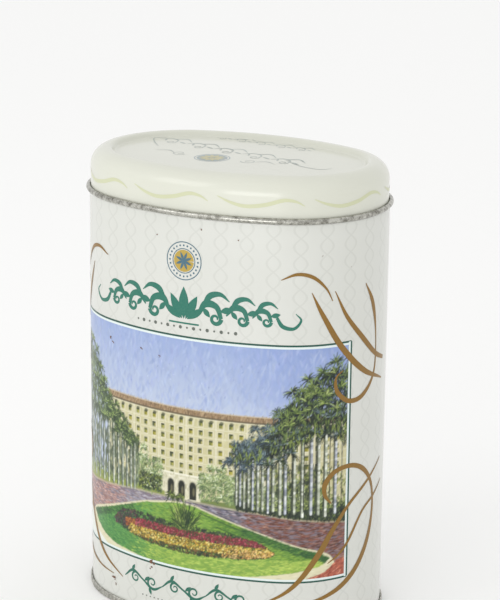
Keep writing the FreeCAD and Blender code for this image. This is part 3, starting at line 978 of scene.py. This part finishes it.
# Rust blooms where the print is chipped: small uneven spots, each of a few joined dots.
rust = []
chips = (
    (-16.2, 25.0, 1.2), (-16.6, 22.0, 0.5), (-40, 119, 0.5), (-38.4, 117, 0.4), (-21.5, 118.5, 0.45),
    (-12, 116.8, 0.5), (-12.8, 168, 0.3), (24, 170, 0.35), (-38.5, 10.8, 0.8), (-37.6, 8.2, 0.5),
    (58, 164, 0.3), (8, 173, 0.4),
)
for s, z, size in chips:
    for spot in range(4):
        spot_s, spot_z = s + chance.normal(0, size * 0.6), z + chance.normal(0, size * 0.7)
        rust.append(disc(spot_s, spot_z, size * chance.uniform(0.3, 0.8), 9))
film("rust_blooms", rust, RUST_STANDOFF, printing_ink("rust_bloom", "#6b4632"))

# ---------------------------------------------------------------- base end
# Pressed tinplate panel, rolled onto the wall in a double seam. Its rim is the bare metal ring
# that the tin stands on, and the rollers leave fine upright ripples in it.
SEAM_HEIGHT = 2.8
SEAM_CORNER = 0.35
PANEL_HEIGHT = 3.4
PANEL_CORNER = 0.9
BEAD_INSET = 12.0
BEAD_RUN = 2.0
BEAD_RADIUS = 1.2
BEAD_ANGLE = 30.0
HOOK_RUN = 1.0

chuck_middle = wall_middle - LAYER_PITCH
bead_drop = 2 * BEAD_RADIUS * (1 - math.cos(math.radians(BEAD_ANGLE)))
bead_length = BEAD_RUN + 2 * BEAD_RADIUS * math.sin(math.radians(BEAD_ANGLE))
base_section = bent_sheet(chuck_middle - BEAD_INSET, PANEL_HEIGHT - bead_drop, 0, [
    ("run", BEAD_RUN),
    ("bend", BEAD_RADIUS, BEAD_ANGLE),
    ("bend", BEAD_RADIUS, -BEAD_ANGLE),
    ("run", BEAD_INSET - bead_length - PANEL_CORNER),
    ("bend", PANEL_CORNER, -90),
    ("run", PANEL_HEIGHT - PANEL_CORNER - SHEET / 2 - SEAM_CORNER),
    ("bend", SEAM_CORNER, 90),
    ("run", 4 * LAYER_PITCH - 2 * SEAM_CORNER),
    ("bend", SEAM_CORNER, 90),
    ("run", SEAM_HEIGHT - SHEET - SEAM_CORNER - LAYER_PITCH),
    ("bend", LAYER_PITCH, 180),
    ("run", HOOK_RUN),
], bend_step=20.0)
seam_metal = bare_tinplate("rolled_tinplate_seam", "#85837b", "#c9c8c0", 0.28, ripples=True)
base_bm = oval_sheet(base_section)
inner = min(v.co.x for v in base_bm.verts if v.co.x > 0 and abs(v.co.y) < 1)
rim = [e for e in base_bm.edges if e.is_boundary and e.verts[0].co.z > PANEL_HEIGHT - bead_drop - 0.01
       and abs(e.verts[0].co.x) <= inner + 0.01]
bmesh.ops.contextual_create(base_bm, geom=rim)
face_outwards(base_bm)
unroll(base_bm)
base = finished(base_bm, "seamed_base", [seam_metal], "tin")
thicken(base, inside_slots=0)
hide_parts("base_end")

# ---------------------------------------------------------------- lid
# One pressing that slips over the neck: a recessed panel inside a rounded shoulder, a straight
# skirt, and an outward curl that shows the sheet's unprinted side as a bare metal bead.
LID_INSET = 0.5
SHOULDER = 7.5
RECESS = 2.2
CREST_RADIUS = 2.2
FOOT_RADIUS = 1.4
RECESS_SLOPE = 55.0
LID_CURL = 2.2
PANEL_MARGIN = 3.0

skirt_middle = -LID_INSET - SHEET / 2
slope = math.radians(RECESS_SLOPE)
slope_fall = RECESS - (CREST_RADIUS + FOOT_RADIUS) * (1 - math.cos(slope))
slope_run = slope_fall / math.sin(slope)
recess_width = (CREST_RADIUS + FOOT_RADIUS) * math.sin(slope) + slope_run * math.cos(slope)
shoulder_middle = SHOULDER - SHEET / 2
panel_edge = skirt_middle - shoulder_middle - recess_width - PANEL_MARGIN
panel_middle = lid_high.z - SHEET / 2 - RECESS
lid_section = bent_sheet(panel_edge, panel_middle, 0, [
    ("run", PANEL_MARGIN),
    ("bend", FOOT_RADIUS, RECESS_SLOPE),
    ("run", slope_run),
    ("bend", CREST_RADIUS, -RECESS_SLOPE),
    ("bend", shoulder_middle, -90),
    ("run", lid_high.z - lid_low.z - SHOULDER - LID_CURL / 2),
    ("bend", LID_CURL / 2 - SHEET / 2, CURL_TURN),
], bend_step=8.0)
lid_print = printed_cream("varnished_cream_lid_print", "#d8d9cc", "#d1d2c5")
lid_bm = oval_sheet(lid_section)
edge_loop = [e for e in lid_bm.edges if e.is_boundary and e.verts[0].co.z > panel_middle - 0.5]
bmesh.ops.contextual_create(lid_bm, geom=edge_loop)
face_outwards(lid_bm)
unroll(lid_bm)
# The curl turns the sheet's unprinted side out, so that side has a metal of its own there.
CURLED = 2
for face in lid_bm.faces:
    face.material_index = CURLED if face.calc_center_median().z < lid_low.z + LID_CURL else PRINTED
# The curl's metal carries the bead's tarnish and its painted dark reflection.
lid = finished(lid_bm, "slip_lid", [lid_print, plain_tin, lid_print, worn_tin_painted_reflection], "lid")
thicken(lid)
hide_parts("lid")

# Olive swashes printed round the skirt, one after another, each a long flat S.
SWASHES = 9
SWASH_START = -7.5
SWASH_HEIGHT = 185.6
swash_pitch = 2 * half_way_round / SWASHES
swash = through((-18, 1.7, 0.3), (-12.5, -0.5, 1.1), (-6, -1.7, 1.5), (2, -0.7, 1.6), (9.5, 1.4, 1.5),
                (14.5, 0.9, 1.0), (18, -0.9, 0.3))
swashes = []
for index in range(SWASHES):
    swashes += shifted([swash], (index - SWASHES // 2) * swash_pitch + SWASH_START, SWASH_HEIGHT)


def on_skirt(s, z, standoff):
    """Place a point of the flat layout just outside the lid's skirt, whichever way round it is."""
    s = (s + half_way_round) % (2 * half_way_round) - half_way_round
    return (*along_oval(s, -LID_INSET + standoff), z)


olive = printing_ink("pale_olive_ink", "#cbceac")
film("lid_swashes", swashes, LINE_STANDOFF, olive, on_skirt, "lid")

# Grey-green scrollwork on the panel, read from behind: a medallion between thin running scrolls.
MEDALLION = (-8.5, -7.5)


def on_panel(x, y, standoff):
    """Place a point of the lid's flat layout just above its panel."""
    return x, y, lid_high.z - RECESS + standoff


def slanted(lines, x, y, angle):
    """Return lines turned by an angle in degrees, then moved."""
    c, n = math.cos(math.radians(angle)), math.sin(math.radians(angle))
    return [[(x + a * c - b * n, y + a * n + b * c, width) for a, b, width in line] for line in lines]


running = []
for start in range(-30, 30, 12):
    running += shifted([
        through((0, 0, 0.2), (2.6, 3.0, 0.7), (6.2, 2.2, 0.6), (8, -1.6, 0.3)),
        spiral(6.2, -1.2, 1.8, 0.4, 0, -1.1, 0.45, 0.2),
        through((4.2, 3.0, 0.45), (7.6, 5.4, 0.65), (12, 2.6, 0.2)),
        leaf(8.2, 0.6, 3.6, 0.9, -14),
        leaf(1.6, 1.8, 3.0, 0.7, -60),
    ], start, 0)
swirls = [spiral(0, 0, 3.4, 0.5, 200, 1.4, 0.5, 0.2),
          through((3.2, 0.6, 0.4), (7, 3.0, 0.65), (12, 0.4, 0.2))]
lid_lines = slanted(shifted(running, 0, 0, 1.3), -9, 7.5, -12)
lid_lines += slanted(shifted(running, 0, 0, 0.85), -4, 29, -6)
lid_lines += shifted(swirls, 8, -6) + shifted(mirrored(swirls), 2 * MEDALLION[0] - 8, -6)
lid_lines += [through((-40, 2, 0.2), (-46, 9, 0.6), (-50, 16, 0.5), (-46, 20, 0.2)),
              through((20, 4, 0.2), (30, -3, 0.6), (40, -5, 0.5), (44, -1, 0.2))]
grey_green = printing_ink("grey_green_ink", "#a3aca6")
film("lid_scrollwork", lid_lines, INK_STANDOFF, grey_green, on_panel, "lid")
medallion = [spiral(0, 0, 7.4, 7.4, 0, 1, 0.5, 0.5, 48), disc(0, 0, 6.5, 36)]
dusty_blue = printing_ink("dusty_blue_ink", "#95a3a6")
film("lid_medallion", shifted(medallion, *MEDALLION), INK_STANDOFF, dusty_blue, on_panel, "lid")
PETAL_FOOT = 1.2
petals = []
for turn in range(0, 360, 30):
    angle = math.radians(turn)
    petals.append(leaf(PETAL_FOOT * math.cos(angle), PETAL_FOOT * math.sin(angle), 4.6, 1.8, turn))
petals.append(disc(0, 0, 1.0, 12))
dull_gold = printing_ink("dull_gold_ink", "#bcb68c")
film("lid_medallion_petals", shifted(petals, *MEDALLION), LINE_STANDOFF, dull_gold, on_panel, "lid")

# ---------------------------------------------------------------- floor, lights and camera
# A plain pale floor in an even white room, with a soft light high on the left and another in
# front, just above table height. The camera stands to the right and looks a little down.
FLOOR_SIZE = 12
bpy.ops.mesh.primitive_plane_add(size=FLOOR_SIZE)
floor = bpy.context.object
floor.name = "floor"
floor_paint, _, floor_shader = new_material("matt_white_floor")
floor_shader.inputs["Base Color"].default_value = linear("#fdfdfc")
floor_shader.inputs["Roughness"].default_value = 0.9
floor.data.materials.append(floor_paint)

world = bpy.data.worlds.new("studio")
bpy.context.scene.world = world
world.use_nodes = True
world.node_tree.nodes["Background"].inputs["Color"].default_value = linear("#f8f8f8")
world.node_tree.nodes["Background"].inputs["Strength"].default_value = 1.0


def softbox(name, place, aim, size, power):
    """Add an area light of a width and height in metres, turned towards a point."""
    lamp = bpy.data.lights.new(name, "AREA")
    lamp.shape = "RECTANGLE"
    lamp.size, lamp.size_y = size
    lamp.energy = power
    rig = bpy.data.objects.new(name, lamp)
    rig.location = place
    rig.rotation_euler = (Vector(aim) - Vector(place)).to_track_quat("-Z", "Y").to_euler()
    bpy.context.scene.collection.objects.link(rig)


softbox("key", (-0.8, -1.2, 0.9), (0, 0, 0.1), (0.7, 0.7), 2.5)
softbox("front", (0.1, -1.3, 0.14), (0, 0, 0.03), (0.6, 0.6), 3.5)

LENS = 136.3
CAMERA_PLACE = (0.4419, -0.8196, 0.3906)
CAMERA_YAW = 28.0
CAMERA_DIP = 15.56
CAMERA_ROLL = 0.60
lens = bpy.data.cameras.new("camera")
lens.lens = LENS
camera = bpy.data.objects.new("camera", lens)
yaw = Matrix.Rotation(math.radians(CAMERA_YAW), 4, "Z")
dip = Matrix.Rotation(math.radians(90 - CAMERA_DIP), 4, "X")
roll = Matrix.Rotation(math.radians(CAMERA_ROLL), 4, "Z")
camera.matrix_world = Matrix.Translation(CAMERA_PLACE) @ yaw @ dip @ roll
bpy.context.scene.collection.objects.link(camera)
bpy.context.scene.camera = camera
bpy.context.scene.view_settings.view_transform = "Standard"
